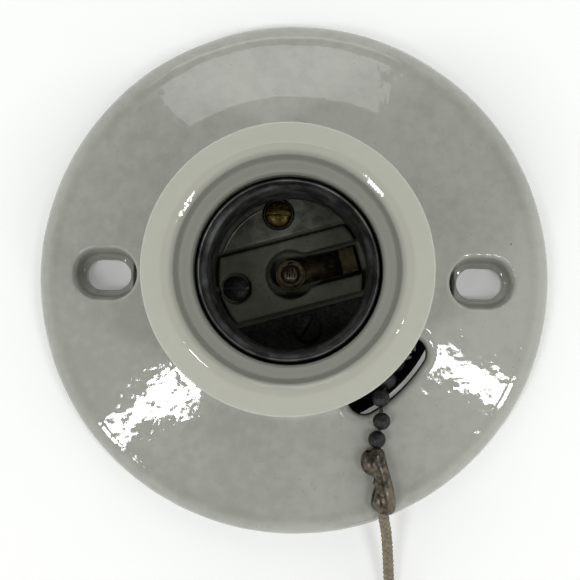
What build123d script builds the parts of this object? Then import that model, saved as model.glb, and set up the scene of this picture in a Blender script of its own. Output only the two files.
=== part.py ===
from build123d import *
import os
from math import asin, cos, degrees, radians, sin

# Porcelain lampholder with a pull-chain switch in its base.
# Millimetres. Origin at the centre of the base's back face, +Z out of the socket's mouth.
# The chain leaves the base towards -Y.

os.makedirs("parts", exist_ok=True)

# ---------------------------------------------------------------- driving dimensions

# Base: a disc with a gently conical face
base_r = 47.625              # 3-3/4 in across
rim_round = 0.8              # small rounding at the back
rim_side_z = 3.9             # top of the rim's upright side
edge_r, edge_z = 43.8, 7.2   # where the rounded rim meets the face
crease_r, crease_z = 33.5, 9.4
collar_foot_r, collar_foot_z = 28.5, 10.0
edge_round, crease_round = 3.0, 14.0

# Collar, lip and funnel
collar_r = 22.4
collar_fillet_z = 15.0
lip_edge_z = 52.4
crest_r, crest_z = 18.8, 54.5
funnel_r, funnel_z = 17.2, 54.0
groove_r, groove_z = 16.6, 52.3
ledge_r, ledge_z = 15.0, 51.5
bore_r, bore_top_z = 14.5, 50.9
collar_rise = 0.6            # from the collar's foot to its upright wall
lip_round, crest_round = 1.2, 1.6
groove_round, ledge_round, floor_round = 0.5, 0.3, 0.6

# Partition between socket and switch, with the raised bar on it
partition_top = 28.0
partition_back = 23.5
bar_az = 16.0
bar_width = 12.1
bar_end_r = 12.2
bar_top = 30.0
bar_rounding = 0.35
bar_root = 0.5               # how deep the bar is drawn into the partition
centre_recess_r = 4.13
channel_width = 5.8
channel_floor = 25.2

# Back hollows
recess_r, recess_top = 29.0, 6.5
cavity_r = 17.5

# Mounting slots
slot_spacing = 69.85         # 3-1/4 in outlet box
slot_length, slot_width = 8.5, 5.7
slot_recess_length, slot_recess_width = 12.6, 9.9
slot_web = 3.0               # porcelain left under the recess
slot_taper = 9.0

# Chain slot at the collar's foot
chain_slot_az, chain_slot_arc = 295.5, 40.0
chain_slot_r, chain_slot_outer_r = 22.6, 28.8
chain_lip_round = 1.5

# Medium screw shell
thread_minor_r = 12.55
thread_major_r = 13.4
thread_pitch = 3.629
thread_flat = 0.7
shell_sheet = 0.4
shell_top = 48.5
shell_flare_r = 14.0

# Small screws: the azimuth and radius of each
upper_screw_az, upper_screw_r = 103.0, 10.4
lower_screw_az, lower_screw_r = 289.0, 9.5
bar_screw_az, bar_screw_r = 196.0, 9.46
screw_shank_r = 1.25
screw_hole_r = 1.5
tapped_r = 1.3
shell_head_r, shell_head_h = 2.25, 1.3
bar_head_r, bar_head_h = 2.1, 1.2
washer_r, washer_t = 2.7, 0.4
lower_slot_az = 60.0
bar_counterbore_r, bar_counterbore_z = 2.55, 28.6

# Terminals in the back recess
terminal_r = 23.5
terminal_shank_r = 1.65
terminal_hole_r = 1.75
terminal_hole_depth = 3.5
terminal_head_r = 3.2
neutral_az, line_az = upper_screw_az, bar_screw_az
load_az = bar_az
load_slot_at, load_slot_thick, load_slot_wide = 11.15, 1.5, 4.6

# Contact strips
strip = 0.5
strip_z = 6.0                # centre of the terminal pads
strip_wall_r = 16.85         # centre of the stretch up the cavity's wall
brush_r = 7.65
brush_low_z, brush_high_z = 12.6, 16.0
load_elbow_z = 18.5
line_elbow_r, line_elbow_z = 9.4, 17.6
neutral_end_r, neutral_elbow_z = 7.6, 22.95
load_strip_w, line_strip_w, neutral_strip_w = 4.2, 5.0, 5.6
pad_reach = 3.2              # from a terminal to the strip's end

# Switch frame
plate_r = 15.5
top_plate_z, back_plate_z, plate_t = 22.3, 2.6, 1.0
pillar_azimuths = (61.0, 151.0, 241.0)
pillar_centre_r, pillar_r, pillar_neck_r = 13.5, 1.5, 1.1
spindle_r = 1.5
running = 0.05               # radial clearance of what turns
cover_r, cover_z, cover_t = 16.4, 0.6, 1.0
cover_screw_r = 0.7

# Lever, ratchet, pawl and rotor
lever_az = 329.5
lever_z, lever_t = 3.8, 1.0
lever_hub_r, lever_tip_r = 4.0, 2.2
lever_length = 24.4
boss_r, boss_top = 2.25, 7.6
teeth = 16
tooth_r, tooth_root_r = 6.7, 5.7
ratchet_z, ratchet_t = 7.8, 1.4
pawl_pin_r, pawl_pin_at = 0.7, 9.6
pawl_eye_r, pawl_nose_r, pawl_nose_at = 1.1, 0.3, 6.3
spring_post, spring_post_r = (3.88, -5.0), 0.45
pawl_lead = 28.0             # degrees from the nose to the pin
nose_gap = 0.52              # from the tooth's face to the nose's centre
rotor_r, rotor_z, rotor_top = 6.0, 9.3, 19.5
drive_square, drive_play = 5.0, 0.04
contact_z, contact_h = 12.0, 4.0
contact_root_r, contact_lobe_r = 6.6, 7.2
lobes = teeth // 2           # on and off alternate with every tooth

# Bead chain (No. 6)
bead_r = 1.6
link_r = 0.3
link_gap = 0.1               # lets the links clear the beads all through the pull
end_bead = (21.02, -12.38, 2.15)
seat_bead = (21.02, -12.38, 6.45)
inner_bead = (19.35, -15.05, 8.30)
middle_bead = (17.75, -18.10, 10.20)
lead_bead = (16.55, -21.40, 11.90)
outer_bead_1 = (16.80, -25.55, 11.60)
outer_bead_2 = (16.04, -28.90, 11.30)
held_bead = (15.45, -33.20, 11.10)

# Coupling and cord
coupling_low = (17.80, -40.20, 9.70)
lobe_r, neck_r, coupling_sheet = 2.2, 1.45, 0.35
coupling_mouth_r = 1.35
coupling_seam = 1.0
cord_r = 1.1
cord_knot_r = 1.6
cord_start_at = 2.6          # from the middle of the coupling's lower lobe
cord_end_knot_r = 2.0
cord_knot_lift = 0.5
cord_path = (
    (18.95, -47.50, 7.00),
    (19.40, -56.00, 3.00),
    (19.80, -64.00, 1.30),
    (20.60, -74.00, 1.20),
    (18.60, -86.00, 1.20),
    (19.60, -96.00, 1.60),
)


# ------------------------------------------------------------------------- helpers

def polar(r, az, z=0.0):
    """A point at radius r and azimuth az in degrees."""
    return Vector(r * cos(radians(az)), r * sin(radians(az)), z)


def upright(az):
    """The plane through the Z axis at an azimuth: its x runs outward and its y up."""
    outward = polar(1, az)
    return Plane(origin=(0, 0, 0), x_dir=outward, z_dir=outward.cross(Vector(0, 0, 1)))


def rod(start, end, radius):
    """A round wire from one point to another."""
    start, end = Vector(*start), Vector(*end)
    return Solid.make_cylinder(radius, (end - start).length, Plane(origin=start, z_dir=end - start))


def ball(centre, radius):
    """A ball at a point."""
    return Solid.make_sphere(radius, Plane(origin=centre), -90, 90, 360)


def link(start, end):
    """The link wire seen between two beads, a hair short of both."""
    start, end = Vector(*start), Vector(*end)
    along = (end - start).normalized() * (bead_r + link_gap)
    return rod(start + along, end - along, link_r)


def slotted_screw(top, head_r, head_h, shank_r, shank_length, slot_az=0.0, round_top=0.3):
    """A slotted screw below the plane of its head's top, as a builder."""
    slot_width, slot_depth = head_r * 0.3, head_h * 0.5
    with BuildPart() as screw:
        with BuildSketch(top):
            Circle(head_r)
        extrude(amount=-head_h)
        fillet(screw.edges().filter_by(GeomType.CIRCLE).sort_by_distance(top.origin)[0], round_top)
        with BuildSketch(top.offset(-head_h)):
            Circle(shank_r)
        extrude(amount=-shank_length)
        with BuildSketch(top):
            Rectangle(3 * head_r, slot_width, rotation=slot_az)
        extrude(amount=-slot_depth, mode=Mode.SUBTRACT)
    return screw


def bent_strip(az, points, width, pads=()):
    """A flat strip bent along points (r, z) in the plane at an azimuth, as a builder."""
    with BuildPart() as bent:
        with BuildSketch(upright(az)):
            with BuildLine():
                Polyline(*points)
            trace(line_width=strip)
        extrude(amount=width / 2, both=True)
        for pad_r, pad_z, hole_r in pads:
            with BuildSketch(Plane(origin=polar(pad_r, az, pad_z))):
                Circle(hole_r)
            extrude(amount=2 * strip, both=True, mode=Mode.SUBTRACT)
    return bent


# ------------------------------------------------------------------- porcelain body

# The curved chain slot, with the rounded lip that the chain runs over.
with BuildPart() as chain_slot_cutter:
    with BuildSketch(upright(chain_slot_az)):
        with BuildLine():
            lip_z = collar_foot_z - chain_lip_round
            Polyline(
                (chain_slot_outer_r, lip_z),
                (chain_slot_outer_r, recess_top - 1),
                (chain_slot_r, recess_top - 1),
                (chain_slot_r, collar_fillet_z + 2),
                (chain_slot_outer_r + chain_lip_round, collar_fillet_z + 2),
                (chain_slot_outer_r + chain_lip_round, collar_foot_z),
            )
            RadiusArc(
                (chain_slot_outer_r + chain_lip_round, collar_foot_z),
                (chain_slot_outer_r, lip_z),
                -chain_lip_round,
            )
        make_face()
    revolve(axis=Axis.Z, revolution_arc=chain_slot_arc)

with BuildPart() as porcelain_body:
    with BuildSketch(Plane.XZ) as body_section:
        with BuildLine():
            Polyline(
                (0, 0),
                (base_r, 0),
                (base_r, edge_z),
                (edge_r, edge_z),
                (crease_r, crease_z),
                (collar_foot_r, collar_foot_z),
                (collar_r, collar_foot_z + collar_rise),
                (collar_r, lip_edge_z),
                (crest_r, crest_z),
                (funnel_r, funnel_z),
                (groove_r, groove_z),
                (ledge_r, ledge_z),
                (bore_r, bore_top_z),
                (bore_r, partition_top),
                (0, partition_top),
                close=True,
            )
        make_face()
        for corner_r, corner_z, rounding in (
            (base_r, 0, rim_round),
            (base_r, edge_z, edge_z - rim_side_z),
            (edge_r, edge_z, edge_round),
            (crease_r, crease_z, crease_round),
            (collar_r, collar_foot_z + collar_rise, collar_fillet_z - collar_foot_z - collar_rise),
            (collar_r, lip_edge_z, lip_round),
            (crest_r, crest_z, crest_round),
            (groove_r, groove_z, groove_round),
            (ledge_r, ledge_z, ledge_round),
            (bore_r, partition_top, floor_round),
        ):
            corners = body_section.vertices()
            fillet(corners.sort_by_distance((corner_r, corner_z, 0))[0], rounding)
    revolve(axis=Axis.Z)

    # Raised bar across the socket's floor
    with BuildSketch(Plane.XY.offset(partition_top - bar_root)):
        Circle(bar_end_r)
        Rectangle(3 * bar_end_r, bar_width, rotation=bar_az, mode=Mode.INTERSECT)
    extrude(amount=bar_top - partition_top + bar_root)
    bar_rim = porcelain_body.faces().filter_by(Plane.XY).filter_by(
        lambda face: abs(face.center().Z - bar_top) < 0.01
    )
    fillet(bar_rim.edges(), bar_rounding)

    # Round recess and channel for the centre contact, sunk into the bar
    with BuildSketch(Plane.XY.offset(bar_top)):
        Circle(centre_recess_r)
        with Locations(polar(bar_end_r, bar_az)):
            Rectangle(2 * bar_end_r, channel_width, rotation=bar_az)
        Circle(bar_end_r + 0.1, mode=Mode.INTERSECT)
    extrude(amount=channel_floor - bar_top, mode=Mode.SUBTRACT)

    # Counterbore of the bar screw, and the holes through the partition
    with BuildSketch(Plane.XY.offset(bar_top)):
        with Locations(polar(bar_screw_r, bar_screw_az)):
            Circle(bar_counterbore_r)
    extrude(amount=bar_counterbore_z - bar_top, mode=Mode.SUBTRACT)
    with BuildSketch(Plane.XY.offset(bar_top)):
        with Locations(
            polar(bar_screw_r, bar_screw_az),
            polar(upper_screw_r, upper_screw_az),
            polar(lower_screw_r, lower_screw_az),
        ):
            Circle(screw_hole_r)
        with Locations(polar(load_slot_at, load_az)):
            Rectangle(load_slot_thick, load_slot_wide, rotation=load_az)
    extrude(amount=-bar_top, mode=Mode.SUBTRACT)

    # Hollows in the back
    with BuildSketch(Plane.XY):
        Circle(recess_r)
    extrude(amount=recess_top, mode=Mode.SUBTRACT)
    with BuildSketch(Plane.XY):
        Circle(cavity_r)
    extrude(amount=partition_back, mode=Mode.SUBTRACT)
    with BuildSketch(Plane.XY.offset(recess_top)):
        with Locations(polar(terminal_r, neutral_az), polar(terminal_r, line_az)):
            Circle(terminal_hole_r)
    extrude(amount=terminal_hole_depth, mode=Mode.SUBTRACT)

    # Chain slot
    add(chain_slot_cutter.part, mode=Mode.SUBTRACT)

    # Mounting slots: a tapered recess down to a web, and a slot through it
    with BuildSketch(Plane.XY.offset(crease_z)) as slot_recesses:
        with GridLocations(slot_spacing, 0, 2, 1):
            SlotOverall(slot_recess_length, slot_recess_width)
    extrude(amount=slot_web - crease_z, taper=slot_taper, mode=Mode.SUBTRACT)
    extrude(slot_recesses.sketch, amount=collar_foot_z - crease_z + 1, mode=Mode.SUBTRACT)
    with BuildSketch(Plane.XY.offset(crease_z)):
        with GridLocations(slot_spacing, 0, 2, 1):
            SlotOverall(slot_length, slot_width)
    extrude(amount=-crease_z, mode=Mode.SUBTRACT)
porcelain_body.part.label = "porcelain_body"
export_step(porcelain_body.part, "parts/porcelain_body.step")

# ---------------------------------------------------------------------- screw shell

# Rings with short flats stand for the rolled thread. The sheet is one thickness throughout.
crest_step = thread_pitch / 2 - thread_flat
ring_line = [(thread_major_r, partition_top)]
ring_z = partition_top + shell_sheet + 0.6
while ring_z + thread_pitch < shell_top:
    ring_line += [
        (thread_major_r, ring_z),
        (thread_minor_r, ring_z + crest_step),
        (thread_minor_r, ring_z + crest_step + thread_flat),
        (thread_major_r, ring_z + 2 * crest_step + thread_flat),
    ]
    ring_z += thread_pitch
ring_line += [(shell_flare_r - shell_sheet, shell_top)]
outer_line = [(r + shell_sheet, z) for r, z in reversed(ring_line)]

with BuildPart() as screw_shell:
    with BuildSketch(Plane.XZ):
        with BuildLine():
            Polyline(*ring_line, *outer_line, close=True)
        make_face()
    revolve(axis=Axis.Z)
    with BuildSketch(Plane.XY.offset(partition_top)):
        Circle(thread_major_r + shell_sheet / 2)
        Rectangle(3 * thread_major_r, bar_width + 0.5, rotation=bar_az, mode=Mode.SUBTRACT)
        with Locations(
            polar(upper_screw_r, upper_screw_az),
            polar(lower_screw_r, lower_screw_az),
        ):
            Circle(screw_hole_r, mode=Mode.SUBTRACT)
    extrude(amount=shell_sheet)
screw_shell.part.label = "screw_shell"
export_step(screw_shell.part, "parts/screw_shell.step")

# -------------------------------------------------------------------- socket screws

floor_top = partition_top + shell_sheet
shank_end = 22.0

upper_shell_screw = slotted_screw(
    Plane(origin=polar(upper_screw_r, upper_screw_az, floor_top + washer_t + shell_head_h)),
    head_r=shell_head_r, head_h=shell_head_h,
    shank_r=screw_shank_r, shank_length=floor_top + washer_t - shank_end,
)
upper_shell_screw.part.label = "upper_shell_screw"
export_step(upper_shell_screw.part, "parts/upper_shell_screw.step")

with BuildPart() as upper_screw_washer:
    with BuildSketch(Plane(origin=polar(upper_screw_r, upper_screw_az, floor_top))):
        Circle(washer_r)
        Circle(screw_hole_r, mode=Mode.SUBTRACT)
    extrude(amount=washer_t)
upper_screw_washer.part.label = "upper_screw_washer"
export_step(upper_screw_washer.part, "parts/upper_screw_washer.step")

lower_shell_screw = slotted_screw(
    Plane(origin=polar(lower_screw_r, lower_screw_az, floor_top + shell_head_h)),
    head_r=shell_head_r, head_h=shell_head_h,
    shank_r=screw_shank_r, shank_length=floor_top - shank_end, slot_az=lower_slot_az,
)
lower_shell_screw.part.label = "lower_shell_screw"
export_step(lower_shell_screw.part, "parts/lower_shell_screw.step")

bar_screw = slotted_screw(
    Plane(origin=polar(bar_screw_r, bar_screw_az, bar_counterbore_z + bar_head_h)),
    head_r=bar_head_r, head_h=bar_head_h,
    shank_r=screw_shank_r, shank_length=bar_counterbore_z - shank_end,
)
bar_screw.part.label = "bar_screw"
export_step(bar_screw.part, "parts/bar_screw.step")

# ------------------------------------------------------------------- centre contact

contact_root_at, contact_root_z = 8.6, 26.2
load_leaf_gap = 0.15
contact_ring_z, contact_ring_r = 27.4, 2.65
contact_sheet, contact_leaf_w = 0.4, 4.2
contact_root_flat = 1.4

# A springy leaf from its root in the channel to a ring under the pip
with BuildPart() as centre_contact_leaf:
    with BuildSketch(upright(bar_az)):
        with BuildLine():
            Polyline(
                (contact_root_at, contact_root_z),
                (contact_root_at - contact_root_flat, contact_root_z),
                (contact_ring_r, contact_ring_z),
                (0, contact_ring_z),
            )
        trace(line_width=contact_sheet)
    extrude(amount=contact_leaf_w / 2, both=True)
    with BuildSketch(Plane.XY.offset(contact_ring_z - contact_sheet / 2)):
        Circle(contact_ring_r)
    extrude(amount=contact_sheet)
centre_contact_leaf.part.label = "centre_contact_leaf"
export_step(centre_contact_leaf.part, "parts/centre_contact_leaf.step")

# The pip, domed and cut with four fine grooves
pip_r, pip_h, pip_round, groove_w = 1.6, 1.1, 0.8, 0.18
with BuildPart() as centre_contact_pip:
    with BuildSketch(Plane.XY.offset(contact_ring_z + contact_sheet / 2)) as pip_foot:
        Circle(pip_r)
    extrude(amount=pip_h)
    fillet(centre_contact_pip.edges().group_by(Axis.Z)[-1], pip_round)
    with BuildSketch(Plane.XY.offset(contact_ring_z + contact_sheet / 2 + pip_h)):
        with GridLocations(2.5 * groove_w, 0, 4, 1):
            Rectangle(groove_w, 1.5 * pip_r)
    extrude(amount=-groove_w, mode=Mode.SUBTRACT)
centre_contact_pip.part.label = "centre_contact_pip"
export_step(centre_contact_pip.part, "parts/centre_contact_pip.step")

# ------------------------------------------------------------------ contact strips

# Load contact: beside the leaf's root, down through the partition to its brush
load_contact = bent_strip(
    load_az,
    [
        (contact_root_at + load_leaf_gap, contact_root_z),
        (load_slot_at, contact_root_z),
        (load_slot_at, load_elbow_z),
        (brush_r, brush_high_z),
        (brush_r, brush_low_z),
    ],
    load_strip_w,
)
load_contact.part.label = "load_contact"
export_step(load_contact.part, "parts/load_contact.step")

# Line contact: from its terminal up the cavity's wall and in to its brush
line_contact = bent_strip(
    line_az,
    [
        (terminal_r + pad_reach, strip_z),
        (strip_wall_r, strip_z),
        (strip_wall_r, line_elbow_z),
        (line_elbow_r, line_elbow_z),
        (brush_r, brush_high_z),
        (brush_r, brush_low_z),
    ],
    line_strip_w,
    pads=[(terminal_r, strip_z, terminal_hole_r)],
)
line_contact.part.label = "line_contact"
export_step(line_contact.part, "parts/line_contact.step")

# Neutral strap: from its terminal up to the shell's upper screw
neutral_strap = bent_strip(
    neutral_az,
    [
        (terminal_r + pad_reach, strip_z),
        (strip_wall_r, strip_z),
        (strip_wall_r, neutral_elbow_z),
        (neutral_end_r, neutral_elbow_z),
    ],
    neutral_strip_w,
    pads=[(terminal_r, strip_z, terminal_hole_r), (upper_screw_r, neutral_elbow_z, tapped_r)],
)
neutral_strap.part.label = "neutral_strap"
export_step(neutral_strap.part, "parts/neutral_strap.step")

pad_bottom = strip_z - strip / 2
terminal_head_h, terminal_round = 2.6, 0.7
terminal_length, terminal_slot_az = 4.0, 35.0
for screw_name, screw_az in (("line_terminal_screw", line_az), ("neutral_terminal_screw", neutral_az)):
    terminal_screw = slotted_screw(
        Plane(
            origin=polar(terminal_r, screw_az, pad_bottom - terminal_head_h),
            x_dir=(1, 0, 0),
            z_dir=(0, 0, -1),
        ),
        head_r=terminal_head_r, head_h=terminal_head_h, shank_r=terminal_shank_r,
        shank_length=terminal_length, slot_az=terminal_slot_az, round_top=terminal_round,
    )
    terminal_screw.part.label = screw_name
    export_step(terminal_screw.part, f"parts/{screw_name}.step")

# ---------------------------------------------------------------------- frame

# Notches that let the strips past the top plate: the radius of the middle, length and width
neutral_notch = (15.8, 20.0, 7.0)
load_notch = (15.0, 12.0, 6.0)

with BuildPart() as frame_top_plate:
    with BuildSketch(Plane.XY.offset(top_plate_z)):
        Circle(plate_r)
        with Locations(polar(neutral_notch[0], neutral_az)):
            Rectangle(*neutral_notch[1:], rotation=neutral_az, mode=Mode.SUBTRACT)
        with Locations(polar(load_notch[0], load_az)):
            Rectangle(*load_notch[1:], rotation=load_az, mode=Mode.SUBTRACT)
        with Locations(polar(bar_screw_r, bar_screw_az), polar(lower_screw_r, lower_screw_az)):
            Circle(tapped_r, mode=Mode.SUBTRACT)
        with Locations(*[polar(pillar_centre_r, az) for az in pillar_azimuths]):
            Circle(pillar_neck_r, mode=Mode.SUBTRACT)
        Circle(spindle_r, mode=Mode.SUBTRACT)
    extrude(amount=plate_t)
frame_top_plate.part.label = "frame_top_plate"
export_step(frame_top_plate.part, "parts/frame_top_plate.step")

with BuildPart() as frame_back_plate:
    with BuildSketch(Plane.XY.offset(back_plate_z)):
        Circle(plate_r)
        with Locations(*[polar(pillar_centre_r, az) for az in pillar_azimuths]):
            Circle(pillar_neck_r, mode=Mode.SUBTRACT)
        Circle(spindle_r, mode=Mode.SUBTRACT)
    extrude(amount=plate_t)
frame_back_plate.part.label = "frame_back_plate"
export_step(frame_back_plate.part, "parts/frame_back_plate.step")

# Three pillars with necks riveted through both plates and tapped for the cover's screws
pillar_spots = [polar(pillar_centre_r, az) for az in pillar_azimuths]
back_plate_top = back_plate_z + plate_t
cover_top = cover_z + cover_t
pillar_tapped_depth = 4.5
with BuildPart() as frame_pillars:
    with BuildSketch(Plane.XY.offset(back_plate_top)):
        with Locations(*pillar_spots):
            Circle(pillar_r)
    extrude(amount=top_plate_z - back_plate_top)
    with BuildSketch(Plane.XY.offset(cover_top)):
        with Locations(*pillar_spots):
            Circle(pillar_neck_r)
    extrude(amount=top_plate_z + plate_t - cover_top)
    with BuildSketch(Plane.XY.offset(cover_top)):
        with Locations(*pillar_spots):
            Circle(cover_screw_r)
    extrude(amount=pillar_tapped_depth, mode=Mode.SUBTRACT)
frame_pillars.part.label = "frame_pillars"
export_step(frame_pillars.part, "parts/frame_pillars.step")

spindle_low = 1.8
clip_z, clip_t, clip_r = 2.05, 0.5, 2.8
clip_mouth = 1.8
spindle_groove = 0.4
with BuildPart() as spindle:
    with BuildSketch(Plane.XY.offset(spindle_low)):
        Circle(spindle_r)
    extrude(amount=top_plate_z + plate_t - spindle_low)
    with BuildSketch(Plane.XY.offset(clip_z)):
        Circle(spindle_r)
        Circle(spindle_r - spindle_groove, mode=Mode.SUBTRACT)
    extrude(amount=clip_t, mode=Mode.SUBTRACT)
spindle.part.label = "spindle"
export_step(spindle.part, "parts/spindle.step")

# A clip in the spindle's groove keeps the back plate on
with BuildPart() as spindle_clip:
    with BuildSketch(Plane.XY.offset(clip_z)):
        Circle(clip_r)
        Circle(spindle_r - spindle_groove, mode=Mode.SUBTRACT)
        with Locations((clip_r / 2 + 0.6, 0)):
            Rectangle(clip_r + 1.2, clip_mouth, mode=Mode.SUBTRACT)
    extrude(amount=clip_t)
spindle_clip.part.label = "spindle_clip"
export_step(spindle_clip.part, "parts/spindle_clip.step")

thrust_r, thrust_t, thrust_gap = 4.2, 0.6, 0.1
with BuildPart() as thrust_washer:
    with BuildSketch(Plane.XY.offset(rotor_top + thrust_gap)):
        Circle(thrust_r)
        Circle(spindle_r + running, mode=Mode.SUBTRACT)
    extrude(amount=thrust_t)
thrust_washer.part.label = "thrust_washer"
export_step(thrust_washer.part, "parts/thrust_washer.step")

cover_hole_r = cover_screw_r + 0.15
with BuildPart() as back_cover:
    with BuildSketch(Plane.XY.offset(cover_z)):
        Circle(cover_r)
        with Locations(*pillar_spots):
            Circle(cover_hole_r, mode=Mode.SUBTRACT)
    extrude(amount=cover_t)
back_cover.part.label = "back_cover"
export_step(back_cover.part, "parts/back_cover.step")

cover_head_r, cover_head_h = 1.6, 0.5
cover_screw_length, cover_screw_slot, cover_slot_az = 5.0, 0.5, 30.0
with BuildPart() as cover_screws:
    with BuildSketch(Plane.XY.offset(cover_z - cover_head_h)):
        with Locations(*pillar_spots):
            Circle(cover_head_r)
    extrude(amount=cover_head_h)
    with BuildSketch(Plane.XY.offset(cover_z)):
        with Locations(*pillar_spots):
            Circle(cover_screw_r)
    extrude(amount=cover_screw_length)
    with BuildSketch(Plane.XY.offset(cover_z - cover_head_h)):
        with Locations(*pillar_spots):
            Rectangle(3 * cover_head_r, cover_screw_slot, rotation=cover_slot_az)
    extrude(amount=cover_head_h / 2, mode=Mode.SUBTRACT)
cover_screws.part.label = "cover_screws"
export_step(cover_screws.part, "parts/cover_screws.step")

# ---------------------------------------------------------------- lever and pawl

nose_az = lever_az - pawl_lead
face_az = nose_az - degrees(nose_gap / pawl_nose_at)
lever_top = lever_z + lever_t
fork_slot, fork_hole_r = 1.2, 0.6
spring_post_h = 1.4
pawl_z, pawl_t = ratchet_z + 0.1, ratchet_t - 0.2

# Flat arm on the spindle, with a boss for the return spring and a fork that holds a bead
with BuildPart() as pull_lever:
    with BuildSketch(Plane.XY.offset(lever_z)):
        with BuildSketch(mode=Mode.PRIVATE) as lever_ends:
            Circle(lever_hub_r)
            with Locations(polar(lever_length, lever_az)):
                Circle(lever_tip_r)
        make_hull(lever_ends.edges())
        with Locations(polar(lever_length + lever_tip_r, lever_az)):
            Rectangle(2 * lever_tip_r, fork_slot, rotation=lever_az, mode=Mode.SUBTRACT)
        with Locations(polar(lever_length, lever_az)):
            Circle(fork_hole_r, mode=Mode.SUBTRACT)
        with Locations(polar(pawl_pin_at, lever_az)):
            Circle(pawl_pin_r, mode=Mode.SUBTRACT)
    extrude(amount=lever_t)
    with BuildSketch(Plane.XY.offset(lever_z)):
        Circle(boss_r)
    extrude(amount=boss_top - lever_z)
    with BuildSketch(Plane.XY.offset(lever_top)):
        with Locations(spring_post):
            Circle(spring_post_r)
    extrude(amount=spring_post_h)
    with BuildSketch(Plane.XY.offset(lever_z)):
        Circle(spindle_r + running)
    extrude(amount=boss_top - lever_z, mode=Mode.SUBTRACT)
pull_lever.part.label = "pull_lever"
export_step(pull_lever.part, "parts/pull_lever.step")

with BuildPart() as pawl_pin:
    with BuildSketch(Plane(origin=polar(pawl_pin_at, lever_az, lever_z))):
        Circle(pawl_pin_r)
    extrude(amount=ratchet_z + ratchet_t + 0.1 - lever_z)
pawl_pin.part.label = "pawl_pin"
export_step(pawl_pin.part, "parts/pawl_pin.step")

with BuildPart() as drive_pawl:
    with BuildSketch(Plane.XY.offset(pawl_z)):
        with BuildSketch(mode=Mode.PRIVATE) as pawl_ends:
            with Locations(polar(pawl_pin_at, lever_az)):
                Circle(pawl_eye_r)
            with Locations(polar(pawl_nose_at, nose_az)):
                Circle(pawl_nose_r)
        make_hull(pawl_ends.edges())
        with Locations(polar(pawl_pin_at, lever_az)):
            Circle(pawl_pin_r + running, mode=Mode.SUBTRACT)
    extrude(amount=pawl_t)
drive_pawl.part.label = "drive_pawl"
export_step(drive_pawl.part, "parts/drive_pawl.step")

# ---------------------------------------------------------------------- springs

# Small torsion spring round the pawl's pin, with a straight leg at each end
pawl_wire, pawl_coil_r, pawl_coil_pitch, pawl_coil_h = 0.2, 1.15, 0.5, 2.0
pawl_leg = 1.8
with BuildPart() as pawl_spring:
    with BuildLine() as pawl_spring_wire:
        pawl_coil = Helix(
            pitch=pawl_coil_pitch,
            height=pawl_coil_h,
            radius=pawl_coil_r,
            center=polar(pawl_pin_at, lever_az, lever_top + 0.4),
        )
        Line(pawl_coil @ 0 - pawl_coil % 0 * pawl_leg, pawl_coil @ 0)
        Line(pawl_coil @ 1, pawl_coil @ 1 + pawl_coil % 1 * pawl_leg)
    with BuildSketch(Plane(origin=pawl_spring_wire.line @ 0, z_dir=pawl_spring_wire.line % 0)):
        Circle(pawl_wire)
    sweep(path=pawl_spring_wire.line, is_frenet=True)
pawl_spring.part.label = "pawl_spring"
export_step(pawl_spring.part, "parts/pawl_spring.step")

# Torsion spring round the lever's boss: one leg on the lever's post, one against a pillar
return_wire, return_coil_r, return_pitch = 0.28, 3.1, 0.6
return_leg, return_tail = 6.5, 13.5
tail_offset = return_coil_r + pillar_r + return_wire + running
tail_az = pillar_azimuths[0] + degrees(asin(tail_offset / pillar_centre_r))
return_turns = 2 + ((tail_az - 90) % 360) / 360
return_lift = 0.53
with BuildPart() as return_spring:
    with BuildLine() as return_wire_line:
        return_coil = Helix(
            pitch=return_pitch,
            height=return_turns * return_pitch,
            radius=return_coil_r,
            center=(0, 0, lever_top + return_lift),
        )
        Line(return_coil @ 0 - return_coil % 0 * return_leg, return_coil @ 0)
        Line(return_coil @ 1, return_coil @ 1 + return_coil % 1 * return_tail)
    with BuildSketch(Plane(origin=return_wire_line.line @ 0, z_dir=return_wire_line.line % 0)):
        Circle(return_wire)
    sweep(path=return_wire_line.line, is_frenet=True)
return_spring.part.label = "return_spring"
export_step(return_spring.part, "parts/return_spring.step")

# Leaf round a pillar whose tip drops behind each tooth and stops the wheel turning back
detent_face_az = face_az + 3 * 360 / teeth
detent_tip_r, detent_tip_lead = 6.15, 3.2
detent_wire, detent_eye_wall = 0.4, 0.5
detent_tip = polar(detent_tip_r, detent_face_az + detent_tip_lead)
detent_eye = polar(pillar_centre_r, pillar_azimuths[0])
with BuildPart() as detent_spring:
    with BuildSketch(Plane.XY.offset(pawl_z)):
        with BuildLine():
            Line(detent_eye, detent_tip)
        trace(line_width=detent_wire)
        with Locations(detent_eye):
            Circle(pillar_r + detent_eye_wall)
            Circle(pillar_r, mode=Mode.SUBTRACT)
    extrude(amount=pawl_t)
detent_spring.part.label = "detent_spring"
export_step(detent_spring.part, "parts/detent_spring.step")

# ------------------------------------------------------------- ratchet and rotor

tooth_pitch = 360 / teeth
tooth_points = []
for tooth in range(teeth):
    face = face_az + tooth * tooth_pitch
    tooth_points += [polar(tooth_r, face), polar(tooth_root_r, face)]
with BuildPart() as ratchet_wheel:
    with BuildSketch(Plane.XY.offset(ratchet_z)):
        with BuildLine():
            Polyline(*tooth_points, close=True)
        make_face()
        Rectangle(drive_square + drive_play, drive_square + drive_play, mode=Mode.SUBTRACT)
    extrude(amount=ratchet_t)
ratchet_wheel.part.label = "ratchet_wheel"
export_step(ratchet_wheel.part, "parts/ratchet_wheel.step")

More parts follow.
